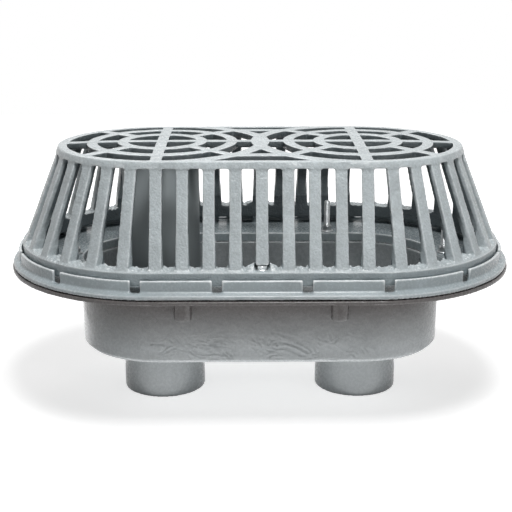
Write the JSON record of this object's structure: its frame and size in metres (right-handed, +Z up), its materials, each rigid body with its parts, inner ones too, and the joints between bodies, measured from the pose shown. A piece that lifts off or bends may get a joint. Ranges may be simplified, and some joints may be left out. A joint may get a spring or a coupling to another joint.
{
  "type": "roof drain",
  "caption": "Oblong cast-iron roof drain with main and overflow outlets, flashing clamp with notched gravel guard, bolted slotted strainer dome and overflow standpipe.",
  "frame": {"origin": "midway between the two outlets, on the plane of their lower ends, where the drain stands", "axes": "+X along the line from the overflow outlet to the main outlet, +Y to the back straight, +Z up towards the strainer dome"},
  "size_m": [0.666, 0.4, 0.3405],
  "materials": {
    "body_paint": "sand casting, dipped in mid-grey paint, satin",
    "clamp_paint": "sand casting, dipped in blue-grey paint, satin gloss",
    "dome_paint": "sand casting, dipped in light blue-grey paint, satin gloss",
    "standpipe_coating": "grey paint brushed on, satin",
    "zinc_hardware": "zinc plated"
  },
  "bodies": {
    "root": {"drain_body": "body_paint", "flashing_clamp": "clamp_paint", "strainer_dome": "dome_paint", "overflow_standpipe": "standpipe_coating", "clamp_studs": "zinc_hardware", "clamp_washers": "zinc_hardware", "clamp_nuts": "zinc_hardware", "dome_washers": "zinc_hardware", "dome_bolts": "zinc_hardware"}
  },
  "joints": []
}
